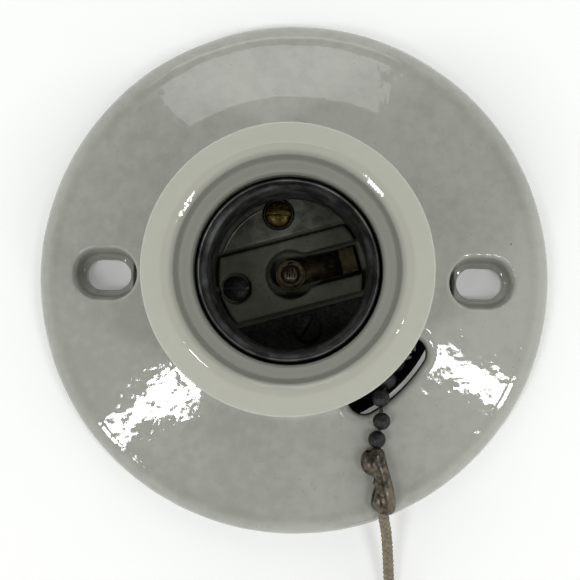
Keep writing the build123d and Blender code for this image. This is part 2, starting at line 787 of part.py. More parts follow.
# Insulating drum on the spindle, keyed to the ratchet by a square
with BuildPart() as contact_rotor:
    with BuildSketch(Plane.XY.offset(rotor_z)):
        Circle(rotor_r)
    extrude(amount=rotor_top - rotor_z)
    with BuildSketch(Plane.XY.offset(ratchet_z)):
        Rectangle(drive_square, drive_square)
    extrude(amount=rotor_z - ratchet_z)
    with BuildSketch(Plane.XY.offset(ratchet_z)):
        Circle(spindle_r + running)
    extrude(amount=rotor_top - ratchet_z, mode=Mode.SUBTRACT)
contact_rotor.part.label = "contact_rotor"
export_step(contact_rotor.part, "parts/contact_rotor.step")

# Brass ring with a lobe for every second tooth: at rest the brushes face its gaps
lobe_start_az = load_az + tooth_pitch
lobe_length, lobe_width = 2.0, 2.4
with BuildPart() as rotor_contact:
    with BuildSketch(Plane.XY.offset(contact_z)):
        Circle(contact_root_r)
        for lobe in range(lobes):
            lobe_az = lobe_start_az + lobe * 360 / lobes
            with Locations(polar(contact_lobe_r - lobe_length / 2, lobe_az)):
                Rectangle(lobe_length, lobe_width, rotation=lobe_az)
        Circle(contact_lobe_r, mode=Mode.INTERSECT)
        Circle(rotor_r, mode=Mode.SUBTRACT)
    extrude(amount=contact_h)
rotor_contact.part.label = "rotor_contact"
export_step(rotor_contact.part, "parts/rotor_contact.step")

# ------------------------------------------------------------------------- chain

# The chain's end: one bead under the lever's fork and one on top of it
with BuildPart() as lever_beads:
    add(ball(end_bead, bead_r))
    add(ball(seat_bead, bead_r))
lever_beads.part.label = "lever_beads"
export_step(lever_beads.part, "parts/lever_beads.step")

bead_pieces = (
    ("chain_bead_inner", inner_bead),
    ("chain_bead_middle", middle_bead),
    ("chain_bead_lead", lead_bead),
)
for bead_name, bead_at in bead_pieces:
    with BuildPart() as bead:
        add(ball(bead_at, bead_r))
    bead.part.label = bead_name
    export_step(bead.part, f"parts/{bead_name}.step")

with BuildPart() as chain_beads_outer:
    for bead_at in (outer_bead_1, outer_bead_2, held_bead):
        add(ball(bead_at, bead_r))
chain_beads_outer.part.label = "chain_beads_outer"
export_step(chain_beads_outer.part, "parts/chain_beads_outer.step")

link_pieces = (
    ("fork_link", ((end_bead, seat_bead),)),
    ("inner_link", ((seat_bead, inner_bead),)),
    ("middle_link", ((inner_bead, middle_bead),)),
    ("lead_link", ((middle_bead, lead_bead),)),
    (
        "outer_links",
        ((lead_bead, outer_bead_1), (outer_bead_1, outer_bead_2), (outer_bead_2, held_bead)),
    ),
)
for link_name, link_ends in link_pieces:
    with BuildPart() as links:
        for start, end in link_ends:
            add(link(start, end))
    links.part.label = link_name
    export_step(links.part, f"parts/{link_name}.step")

# ---------------------------------------------------------------------- coupling

# Thin folded metal: two round lobes and a waist, open along a seam and at both ends
coupling_start, coupling_end = Vector(*held_bead), Vector(*coupling_low)
coupling_span = (coupling_end - coupling_start).length
coupling_plane = Plane(
    origin=coupling_start, x_dir=Vector(0, 0, 1), z_dir=coupling_end - coupling_start
)
with BuildPart() as chain_coupling:
    for wall, cut in ((0.0, Mode.ADD), (coupling_sheet, Mode.SUBTRACT)):
        for centre in (coupling_start, coupling_end):
            add(ball(centre, lobe_r - wall), mode=cut)
        with BuildSketch(coupling_plane):
            Circle(neck_r - wall)
        extrude(amount=coupling_span, mode=cut)
    with BuildSketch(coupling_plane.offset(-2 * lobe_r)):
        Circle(coupling_mouth_r)
    extrude(amount=2 * lobe_r, mode=Mode.SUBTRACT)
    with BuildSketch(coupling_plane.offset(coupling_span)):
        Circle(coupling_mouth_r)
    extrude(amount=2 * lobe_r, mode=Mode.SUBTRACT)
    with BuildSketch(coupling_plane.offset(-2 * lobe_r)):
        with Locations((lobe_r, 0)):
            Rectangle(2 * lobe_r, coupling_seam)
    extrude(amount=coupling_span + 4 * lobe_r, mode=Mode.SUBTRACT)
chain_coupling.part.label = "chain_coupling"
export_step(chain_coupling.part, "parts/chain_coupling.step")

# -------------------------------------------------------------------------- cord

# The cord is tied inside the coupling's lower lobe
with BuildPart() as cord_knot:
    add(ball(coupling_end, cord_knot_r))
cord_knot.part.label = "cord_knot"
export_step(cord_knot.part, "parts/cord_knot.step")

# Braided cord from just outside the coupling, over the rim and along the floor
coupling_axis = coupling_plane.z_dir
cord_start = coupling_end + coupling_axis * cord_start_at
cord_end_knot = Vector(*cord_path[-1]) + Vector(0, -cord_end_knot_r - link_gap, cord_knot_lift)
with BuildPart() as pull_cord:
    with BuildLine() as cord_line:
        Spline(cord_start, *cord_path, tangents=(coupling_axis, (0, -1, 0)))
    with BuildSketch(Plane(origin=cord_start, z_dir=coupling_axis)):
        Circle(cord_r)
    sweep(path=cord_line.line)
    add(ball(cord_end_knot, cord_end_knot_r))
pull_cord.part.label = "pull_cord"
export_step(pull_cord.part, "parts/pull_cord.step")
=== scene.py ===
"""Looks of a porcelain lampholder with a pull-chain switch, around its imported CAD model.

Everything is in metres in the row frame: the origin is the centre of the base's back face,
+Z points out of the socket's mouth, and the chain leaves towards -Y.
"""

import math

import bmesh
import bpy
import numpy as np
from mathutils import Matrix, Vector, noise


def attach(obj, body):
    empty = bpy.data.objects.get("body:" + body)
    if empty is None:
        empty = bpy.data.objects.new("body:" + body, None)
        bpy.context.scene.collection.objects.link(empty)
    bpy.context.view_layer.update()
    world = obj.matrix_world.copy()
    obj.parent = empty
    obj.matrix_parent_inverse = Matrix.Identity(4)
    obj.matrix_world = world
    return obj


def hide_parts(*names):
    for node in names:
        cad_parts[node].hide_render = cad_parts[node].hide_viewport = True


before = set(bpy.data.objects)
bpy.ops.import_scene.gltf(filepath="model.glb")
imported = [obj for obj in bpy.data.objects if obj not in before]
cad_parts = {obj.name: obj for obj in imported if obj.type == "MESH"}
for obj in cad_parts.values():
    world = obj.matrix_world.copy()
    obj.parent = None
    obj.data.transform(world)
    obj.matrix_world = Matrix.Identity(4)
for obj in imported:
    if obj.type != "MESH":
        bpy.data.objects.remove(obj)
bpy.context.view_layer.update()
MM = 0.001
scene = bpy.context.scene


# ------------------------------------------------------------------ mesh helpers

def polar(r, az, z=0.0):
    """The point at radius r, azimuth az in degrees and height z."""
    return Vector((r * math.cos(math.radians(az)), r * math.sin(math.radians(az)), z))


def add_object(name, vertices, faces, smooth=True):
    """A mesh object from vertices in millimetres."""
    mesh = bpy.data.meshes.new(name)
    mesh.from_pydata([tuple(c * MM for c in v) for v in vertices], [], faces)
    mesh.validate()
    obj = bpy.data.objects.new(name, mesh)
    scene.collection.objects.link(obj)
    clean = bmesh.new()
    clean.from_mesh(mesh)
    bmesh.ops.recalc_face_normals(clean, faces=clean.faces)
    clean.to_mesh(mesh)
    clean.free()
    if smooth:
        mesh.shade_smooth()
    return obj


def lathe(name, profile, steps=128, smooth=True):
    """A solid of revolution about Z from (r, z) points in mm that run from axis to axis or form a ring."""
    closed_ring = profile[0][0] > 0 and profile[-1][0] > 0
    vertices, rows = [], []
    for r, z in profile:
        if r <= 1e-9:
            rows.append([len(vertices)] * steps)
            vertices.append((0.0, 0.0, z))
            continue
        rows.append(list(range(len(vertices), len(vertices) + steps)))
        for k in range(steps):
            angle = 2 * math.pi * k / steps
            vertices.append((r * math.cos(angle), r * math.sin(angle), z))
    faces = []
    count = len(rows)
    for i in range(count if closed_ring else count - 1):
        low, high = rows[i], rows[(i + 1) % count]
        for k in range(steps):
            n = (k + 1) % steps
            corners = [low[k], low[n], high[n], high[k]]
            unique = list(dict.fromkeys(corners))
            if len(unique) > 2:
                faces.append(unique)
    return add_object(name, vertices, faces, smooth)


def between(name, bottom, low, top, high):
    """A solid in mm between two outlines with as many (x, y) points, at two heights."""
    count = len(bottom)
    vertices = [(x, y, low) for x, y in bottom] + [(x, y, high) for x, y in top]
    faces = [list(range(count))[::-1], list(range(count, 2 * count))]
    faces += [[k, (k + 1) % count, count + (k + 1) % count, count + k] for k in range(count)]
    return add_object(name, vertices, faces, smooth=False)


def prism(name, outline, low, high):
    """A straight prism in mm from an outline of (x, y) points."""
    return between(name, outline, low, outline, high)


def circle_outline(centre, radius, steps=64):
    """Points on a circle."""
    return [
        (
            centre[0] + radius * math.cos(2 * math.pi * k / steps),
            centre[1] + radius * math.sin(2 * math.pi * k / steps),
        )
        for k in range(steps)
    ]


def slot_outline(centre, length, width, steps=24):
    """A slot with round ends, along X."""
    points = []
    for end, start in ((1, -90), (-1, 90)):
        middle = centre[0] + end * (length - width) / 2
        for k in range(steps + 1):
            angle = math.radians(start + 180 * k / steps)
            points.append((middle + width / 2 * math.cos(angle), centre[1] + width / 2 * math.sin(angle)))
    return points


def box_outline(centre, length, width, az):
    """A rectangle turned to an azimuth."""
    turn = Matrix.Rotation(math.radians(az), 2)
    corners = ((-1, -1), (1, -1), (1, 1), (-1, 1))
    points = [turn @ Vector((x * length / 2, y * width / 2)) for x, y in corners]
    return [(centre[0] + p.x, centre[1] + p.y) for p in points]


def tube(name, points, radius, sides=16, closed=False):
    """A round tube in mm along a line of points; radius may be a function of the share along it."""
    points = [Vector(p) for p in points]
    count = len(points)
    tangents = []
    for i in range(count):
        before = points[(i - 1) % count] if closed or i > 0 else points[i]
        after = points[(i + 1) % count] if closed or i < count - 1 else points[i]
        tangents.append((after - before).normalized())
    normal = tangents[0].orthogonal().normalized()
    vertices = []
    for i, (point, tangent) in enumerate(zip(points, tangents)):
        normal = (normal - tangent * normal.dot(tangent)).normalized()
        side = tangent.cross(normal)
        size = radius(i / (count - 1)) if callable(radius) else radius
        for k in range(sides):
            angle = 2 * math.pi * k / sides
            vertices.append(point + size * (math.cos(angle) * normal + math.sin(angle) * side))
    faces = []
    for i in range(count if closed else count - 1):
        j = (i + 1) % count
        for k in range(sides):
            n = (k + 1) % sides
            faces.append([i * sides + k, i * sides + n, j * sides + n, j * sides + k])
    if not closed:
        faces.append(list(range(sides))[::-1])
        faces.append([(count - 1) * sides + k for k in range(sides)])
    return add_object(name, vertices, faces)


def join(name, parts):
    """One object from several."""
    target = bmesh.new()
    for part in parts:
        piece = part.data.copy()
        piece.transform(part.matrix_world)
        target.from_mesh(piece)
        bpy.data.meshes.remove(piece)
    mesh = bpy.data.meshes.new(name)
    target.to_mesh(mesh)
    target.free()
    for part in parts:
        bpy.data.objects.remove(part)
    obj = bpy.data.objects.new(name, mesh)
    scene.collection.objects.link(obj)
    return obj


def apply_modifiers(obj):
    """The object's mesh as its modifiers make it."""
    depsgraph = bpy.context.evaluated_depsgraph_get()
    mesh = bpy.data.meshes.new_from_object(obj.evaluated_get(depsgraph))
    obj.modifiers.clear()
    obj.data = mesh
    return obj


def cut(obj, cutters):
    """Cuts every cutter out of obj."""
    for cutter in cutters:
        modifier = obj.modifiers.new("cut", "BOOLEAN")
        modifier.operation = "DIFFERENCE"
        modifier.solver = "EXACT"
        modifier.object = cutter
        bpy.context.view_layer.update()
        apply_modifiers(obj)
        bpy.data.objects.remove(cutter)
    return obj


def bevel_edges(obj, width_mm, segments, angle=30):
    """Rounds every edge that turns by more than an angle in degrees."""
    modifier = obj.modifiers.new("bevel", "BEVEL")
    modifier.width = width_mm * MM
    modifier.segments = segments
    modifier.limit_method = "ANGLE"
    modifier.angle_limit = math.radians(angle)
    return apply_modifiers(obj)


def voxel_remesh(obj, voxel_mm):
    """Rebuilds the surface as even quads, which merges overlapping solids."""
    modifier = obj.modifiers.new("remesh", "REMESH")
    modifier.mode = "VOXEL"
    modifier.voxel_size = voxel_mm * MM
    return apply_modifiers(obj)


def relax(obj, rounds, forward=0.55, back=-0.57):
    """Rounds off edges by Taubin smoothing, which keeps the volume."""
    mesh = obj.data
    count = len(mesh.vertices)
    points = np.empty(count * 3)
    mesh.vertices.foreach_get("co", points)
    points = points.reshape(-1, 3)
    edges = np.empty(len(mesh.edges) * 2, np.int64)
    mesh.edges.foreach_get("vertices", edges)
    a, b = edges.reshape(-1, 2).T
    degree = np.bincount(np.r_[a, b], minlength=count)[:, None]
    for turn in range(2 * rounds):
        total = np.zeros_like(points)
        for axis in range(3):
            total[:, axis] += np.bincount(a, points[b, axis], count)
            total[:, axis] += np.bincount(b, points[a, axis], count)
        points += (forward if turn % 2 == 0 else back) * (total / degree - points)
    mesh.vertices.foreach_set("co", points.ravel())
    mesh.update()
    return obj


def ripple(obj, layers):
    """Moves points along their normals by smooth noise in (size, depth) mm layers, but not below Z = 0."""
    mesh = obj.data
    count = len(mesh.vertices)
    points, normals = np.empty(count * 3), np.empty(count * 3)
    mesh.vertices.foreach_get("co", points)
    mesh.vertices.foreach_get("normal", normals)
    points, normals = points.reshape(-1, 3), normals.reshape(-1, 3)
    moves = np.zeros(count)
    for number, (size, depth) in enumerate(layers):
        places = points / (size * MM) + np.array((7.3 * number, 1.9, 4.4))
        moves += depth * MM * np.array([noise.noise(place) for place in places.tolist()])
    points += normals * moves[:, None]
    points[:, 2] = np.maximum(points[:, 2], 0)
    mesh.vertices.foreach_set("co", points.ravel())
    mesh.update()
    return obj


def finish_piece(obj, body, material, slot, *replaced):
    """Gives a piece its material and body, and hides the CAD nodes it stands for. The slot argument is not
    used.
    """
    obj.data.materials.clear()
    obj.data.materials.append(material)
    obj.data.shade_smooth()
    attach(obj, body)
    if replaced:
        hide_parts(*replaced)
    return obj


# -------------------------------------------------------------- material helpers

class Shader:
    """A material under construction, with short calls for the nodes that this scene uses."""

    def __init__(self, name, color, metallic=0.0, roughness=0.5):
        self.material = bpy.data.materials.new(name)
        self.material.use_nodes = True
        self.tree = self.material.node_tree
        self.bsdf = self.tree.nodes["Principled BSDF"]
        self.bsdf.inputs["Base Color"].default_value = (*color, 1)
        self.bsdf.inputs["Metallic"].default_value = metallic
        self.bsdf.inputs["Roughness"].default_value = roughness
        self.coordinates = self.tree.nodes.new("ShaderNodeTexCoord").outputs["Object"]

    def set(self, **values):
        """Sets shader inputs by name, with _ for a space."""
        for name, value in values.items():
            self.bsdf.inputs[name.replace("_", " ")].default_value = value
        return self

    def plug(self, name, source):
        """Links a socket to a shader input."""
        self.tree.links.new(source, self.bsdf.inputs[name])
        return self

    def noise(self, size_mm, detail=3.0, roughness=0.55, distortion=0.0, stretch=None):
        """Noise whose features are about size_mm across, stretched by a factor per axis."""
        node = self.tree.nodes.new("ShaderNodeTexNoise")
        node.inputs["Scale"].default_value = 1 / (size_mm * MM)
        node.inputs["Detail"].default_value = detail
        node.inputs["Roughness"].default_value = roughness
        node.inputs["Distortion"].default_value = distortion
        source = self.coordinates
        if stretch:
            mapping = self.tree.nodes.new("ShaderNodeMapping")
            mapping.inputs["Scale"].default_value = stretch
            self.tree.links.new(source, mapping.inputs["Vector"])
            source = mapping.outputs["Vector"]
        self.tree.links.new(source, node.inputs["Vector"])
        return node.outputs["Fac"]

    def spots(self, spacing_mm, radius_share, softness=0.5):
        """1 inside scattered round spots, 0 between them."""
        node = self.tree.nodes.new("ShaderNodeTexVoronoi")
        node.inputs["Scale"].default_value = 1 / (spacing_mm * MM)
        self.tree.links.new(self.coordinates, node.inputs["Vector"])
        return self.ramp(node.outputs["Distance"], radius_share * (1 - softness), radius_share, 1, 0)

    def ramp(self, source, low, high, start=0.0, end=1.0):
        """A value mapped from low..high to start..end, clamped."""
        node = self.tree.nodes.new("ShaderNodeMapRange")
        node.interpolation_type = "SMOOTHSTEP"
        for name, value in (("From Min", low), ("From Max", high), ("To Min", start), ("To Max", end)):
            node.inputs[name].default_value = value
        self.link(source, node.inputs["Value"])
        return node.outputs["Result"]

    def math(self, operation, a, b=0.0):
        """A sum, product or the like of two sockets or numbers."""
        node = self.tree.nodes.new("ShaderNodeMath")
        node.operation = operation
        self.link(a, node.inputs[0])
        self.link(b, node.inputs[1])
        return node.outputs["Value"]

    def mix(self, share, a, b):
        """Colour a where share is 0 and b where it is 1."""
        node = self.tree.nodes.new("ShaderNodeMix")
        node.data_type = "RGBA"
        self.link(share, node.inputs["Factor"])
        self.link(a, node.inputs[6])
        self.link(b, node.inputs[7])
        return node.outputs[2]

    def link(self, source, target):
        """Feeds an input from a socket, a number or a colour."""
        if isinstance(source, bpy.types.NodeSocket):
            self.tree.links.new(source, target)
        elif isinstance(source, (int, float)):
            target.default_value = source
        else:
            target.default_value = (*source, 1)

    def position(self, axis):
        """The place along one axis, in metres."""
        node = self.tree.nodes.new("ShaderNodeSeparateXYZ")
        self.tree.links.new(self.coordinates, node.inputs["Vector"])
        return node.outputs[axis]

    def radius(self):
        """Distance from the Z axis."""
        x, y = self.position("X"), self.position("Y")
        return self.math("SQRT", self.math("ADD", self.math("MULTIPLY", x, x), self.math("MULTIPLY", y, y)))

    def bump(self, *layers):
        """Stacks bump layers, each (height source, depth mm)."""
        normal = None
        for height, depth in layers:
            node = self.tree.nodes.new("ShaderNodeBump")
            node.inputs["Distance"].default_value = depth * MM
            self.tree.links.new(height, node.inputs["Height"])
            if normal:
                self.tree.links.new(normal, node.inputs["Normal"])
            normal = node.outputs["Normal"]
        self.tree.links.new(normal, self.bsdf.inputs["Normal"])
        return self


# ------------------------------------------------------------------------ finishes

def porcelain_material():
    """White glaze greyed by age, with faint dark specks, a painted highlight on the lip and painted shade
    (with some dirt and soot) in the funnel, down the socket and in the chain slot; the bar and the hollows
    are bare clay.
    """
    s = Shader("porcelain_glaze", (0.35, 0.36, 0.33), roughness=0.1)
    broad, fine = s.noise(28, 3), s.noise(2.2, 4)
    clouds = s.math("ADD", s.math("MULTIPLY", broad, 0.55), s.math("MULTIPLY", fine, 0.45))
    clouds = s.ramp(clouds, 0.36, 0.64)
    glaze = s.mix(clouds, (0.362, 0.364, 0.334), (0.43, 0.43, 0.394))
    specks = s.math("MULTIPLY", s.spots(1.3, 0.13, 0.8), s.ramp(s.noise(4, 2), 0.45, 0.6))
    glaze = s.mix(s.math("MULTIPLY", specks, 0.55), glaze, (0.12, 0.112, 0.09))
    big_specks = s.math("MULTIPLY", s.spots(6, 0.045, 0.6), s.ramp(s.noise(11, 1), 0.5, 0.58))
    glaze = s.mix(s.math("MULTIPLY", big_specks, 0.7), glaze, (0.07, 0.065, 0.055))
    height, radius = s.position("Z"), s.radius()
    # a lighter, warmer band round the lip at the mouth: painted highlight where the light catches the lip's
    # crest
    mouth = s.ramp(height, 0.0495, 0.0525)
    glaze = s.mix(s.math("MULTIPLY", mouth, 0.75), glaze, (0.47, 0.465, 0.395))
    # the funnel inside the mouth is darker: partly painted shade in the recess, partly dirt
    funnel_shade_and_dirt = s.math("MULTIPLY", s.ramp(radius, 0.0182, 0.0170), s.ramp(height, 0.0300, 0.0330))
    glaze = s.mix(s.math("MULTIPLY", funnel_shade_and_dirt, 0.85), glaze, (0.205, 0.207, 0.182))
    # bare clay: the raised bar and partition inside the socket, and the hollows behind
    socket = s.math("MULTIPLY", s.ramp(height, 0.0318, 0.0312), s.ramp(radius, 0.0146, 0.0142))
    foot = s.ramp(height, 0.0003, 0.0001)
    hollow = s.math("MULTIPLY", s.ramp(radius, 0.0292, 0.0288), s.ramp(height, 0.0072, 0.0068))
    cavity = s.math("MULTIPLY", s.ramp(radius, 0.0178, 0.0174), s.ramp(height, 0.0258, 0.0252))
    bare = s.math("MAXIMUM", s.math("MAXIMUM", socket, foot), s.math("MAXIMUM", hollow, cavity))
    grit = s.math("MULTIPLY", s.spots(0.8, 0.22, 0.5), s.ramp(s.noise(1.6, 2), 0.45, 0.6))
    clay = s.mix(s.ramp(s.noise(2.5, 4), 0.35, 0.7), (0.2, 0.205, 0.14), (0.3, 0.3, 0.215))
    clay = s.mix(s.math("MULTIPLY", grit, 0.75), clay, (0.06, 0.06, 0.035))
    # the clay down the socket is near black: partly soot, partly painted shade down the socket
    clay = s.mix(s.math("MULTIPLY", socket, 0.72), clay, (0.022, 0.022, 0.014))
    # the chain slot's lower walls are near black: painted shade in the slot; the band also takes in the
    # inner ends of the mounting slots' recesses
    slot_painted_shade = s.math("MULTIPLY", s.ramp(height, 0.0095, 0.0082), s.ramp(radius, 0.0306, 0.0300))
    glaze = s.mix(s.math("MULTIPLY", slot_painted_shade, 0.95), glaze, (0.012, 0.012, 0.01))
    s.plug("Base Color", s.mix(bare, glaze, clay))
    gloss = s.ramp(s.noise(3, 3), 0.3, 0.8, 0.03, 0.07)
    s.plug("Roughness", s.math("ADD", gloss, s.math("MULTIPLY", bare, 0.6)))
    s.set(IOR=1.52)
    s.bump((s.noise(3.6, 2, 0.5), 0.09), (s.noise(0.5, 2), 0.003), (s.math("MULTIPLY", grit, bare), 0.05))
    return s.material


def metal_material(name, dark, light, roughness, patch_mm=3.0, scratch=0.02, metallic=1.0, grime=None):
    """Worn metal: two tones in patches, uneven roughness, fine scratches and optional grime."""
    s = Shader(name, light, metallic, roughness)
    patches = s.ramp(s.noise(patch_mm, 5, 0.6, 0.4), 0.35, 0.65)
    color = s.mix(patches, dark, light)
    if grime:
        dirt = s.ramp(s.noise(patch_mm * 0.6, 6, 0.7), 0.52, 0.66)
        color = s.mix(s.math("MULTIPLY", dirt, 0.8), color, grime)
        s.plug("Metallic", s.math("SUBTRACT", metallic, s.math("MULTIPLY", dirt, 0.6)))
    s.plug("Base Color", color)
    smooth, rough = roughness * 0.75, min(1, roughness * 1.3)
    s.plug("Roughness", s.ramp(s.noise(patch_mm * 0.4, 4), 0.3, 0.7, smooth, rough))
    s.bump((s.noise(0.5, 4, 0.6, stretch=(1, 1, 6)), scratch), (s.noise(2.2, 3), scratch))
    return s.material


def plain_material(name, dark, light, roughness, grain_mm, depth, fuzz=0.0):
    """A non-metal with grain of one size."""
    s = Shader(name, light, 0.0, roughness)
    s.plug("Base Color", s.mix(s.ramp(s.noise(grain_mm, 5, 0.65), 0.3, 0.7), dark, light))
    smooth, rough = roughness * 0.85, min(1, roughness * 1.1)
    s.plug("Roughness", s.ramp(s.noise(grain_mm * 2, 3), 0.3, 0.7, smooth, rough))
    s.bump((s.noise(grain_mm, 5), depth))
    if fuzz:
        s.set(Sheen_Weight=fuzz, Sheen_Roughness=0.5)
    return s.material


GLAZE = porcelain_material()
SHELL = metal_material("shell_nickel", (0.052, 0.054, 0.05), (0.16, 0.165, 0.16), 0.42, 4, 0.02, 0.85)
PLATE = metal_material("plate_nickel", (0.11, 0.11, 0.09), (0.21, 0.21, 0.175), 0.5, 2.5, 0.03, 0.7)
# the lower floor plate and its screw: burnt dark, and darkened further as painted shade down the socket
BURNT_AND_SHADED = metal_material("burnt_and_shaded_plate", (0.005, 0.005, 0.004), (0.02, 0.02, 0.017), 0.8, 1.2, 0.08, 0.1)
BRASS = metal_material(
    "aged_brass", (0.03, 0.022, 0.006), (0.1, 0.075, 0.02), 0.42, 0.8, 0.02, 1.0, (0.08, 0.06, 0.02)
)
DARK_STEEL = metal_material("dark_steel", (0.012, 0.011, 0.01), (0.045, 0.042, 0.038), 0.55, 0.8, 0.02, 0.8)
# the contact's brass is darkened past its tarnish: partly painted shade at the socket's floor
CONTACT = metal_material("contact_brass", (0.03, 0.025, 0.014), (0.09, 0.075, 0.042), 0.5, 1.6, 0.02, 0.9)
SILVER = metal_material("silver_pip", (0.06, 0.058, 0.042), (0.16, 0.156, 0.12), 0.42, 0.6, 0.02, 0.9)
ZINC = metal_material("zinc_steel", (0.12, 0.122, 0.118), (0.24, 0.24, 0.225), 0.42, 5, 0.01, 1.0)
SPRING = metal_material("spring_wire", (0.3, 0.31, 0.33), (0.5, 0.5, 0.52), 0.26, 3, 0.005, 1.0)
NICKEL = metal_material("aged_nickel", (0.02, 0.0205, 0.0205), (0.045, 0.046, 0.045), 0.48, 1.2, 0.012, 0.8)
BRONZE = metal_material(
    "worn_bronze", (0.03, 0.027, 0.024), (0.17, 0.14, 0.105), 0.33, 2.6, 0.02, 0.95, (0.05, 0.048, 0.046)
)
FIBRE = plain_material("fibre_board", (0.1, 0.065, 0.035), (0.16, 0.11, 0.065), 0.7, 0.8, 0.02)
PHENOLIC = plain_material("brown_phenolic", (0.03, 0.017, 0.011), (0.055, 0.032, 0.02), 0.35, 2.0, 0.005)
COTTON = plain_material("cotton_braid", (0.15, 0.12, 0.08), (0.28, 0.24, 0.165), 0.92, 0.7, 0.06, 0.25)


# ------------------------------------------------------------------ porcelain body

def rounded(points, steps=7):
    """The corners (x, y, radius) of an outline turned into points, with an arc at each corner."""
    result = []
    count = len(points)
    for i, (x, y, radius) in enumerate(points):
        here = Vector((x, y))
        if radius <= 0 or i in (0, count - 1):
            result.append((x, y))
            continue
        back = (Vector(points[i - 1][:2]) - here).normalized()
        ahead = (Vector(points[(i + 1) % count][:2]) - here).normalized()
        half = back.angle(ahead) / 2
        reach = radius / math.tan(half)
        centre = here + (back + ahead).normalized() * (radius / math.sin(half))
        start, end = here + back * reach - centre, here + ahead * reach - centre
        turn = start.angle_signed(end)
        for k in range(steps + 1):
            spoke = Matrix.Rotation(-turn * k / steps, 2) @ start
            result.append((centre.x + spoke.x, centre.y + spoke.y))
    return result


def sector_ring(name, profile, start_az, arc, steps=40):
    """A closed outline (r, z) in mm swept round Z through part of a turn, with flat ends."""
    vertices, faces = [], []
    count = len(profile)
    for k in range(steps + 1):
        for r, z in profile:
            vertices.append(polar(r, start_az + arc * k / steps, z))
    for k in range(steps):
        for i in range(count):
            j = (i + 1) % count
            low, high = k * count, (k + 1) * count
            faces.append([low + i, low + j, high + j, high + i])
    faces.append(list(range(count)))
    faces.append([steps * count + i for i in range(count)][::-1])
    return add_object(name, vertices, faces, smooth=False)


def tapered_slot(name, centre, high_size, low_size, high, low):
    """A slot-shaped hole, wider at the top."""
    return between(name, slot_outline(centre, *low_size), low, slot_outline(centre, *high_size), high)


BAR_AZ = 16.0
PARTITION_TOP = 28.0
BAR_TOP = 30.0
CHANNEL_FLOOR = 25.2
BAR_END = 12.2
BAR_HALF_WIDTH = 6.05
RECESS_R = 4.13
CHANNEL_WIDTH = 5.8
COUNTERBORE_R, COUNTERBORE_FLOOR = 2.55, 28.6
ABOVE_BAR = 32
UPPER_SCREW = polar(10.4, 103.0)
LOWER_SCREW = polar(9.5, 289.0)
BAR_SCREW = polar(9.46, 196.0)
MOUNT_X = 34.925
SLOT_AZ, SLOT_ARC = 295.5, 40.0
SLOT_INNER, SLOT_OUTER, SLOT_LIP = 22.6, 28.5, 1.8
SLOT_LOW, SLOT_HIGH, SLOT_END_HIGH = 5.5, 17.0, 11.5
SLOT_RIM_Z = 10.0
SLOT_VOXEL, BODY_VOXEL = 0.2, 0.36
LOAD_SLOT_R, LOAD_SLOT_SIZE, LOAD_SLOT_LOW, LOAD_SLOT_HIGH = 11.15, (1.5, 4.6), 23.0, 25.5
MOUNT_RECESS_TOP, MOUNT_RECESS_FOOT = (13.0, 10.3), (10.7, 8.0)
MOUNT_RECESS_HIGH, MOUNT_RECESS_LOW = 11.0, 3.0
MOUNT_SLOT, MOUNT_SLOT_HIGH, MOUNT_SLOT_LOW = (8.5, 5.7), 3.5, -1.0


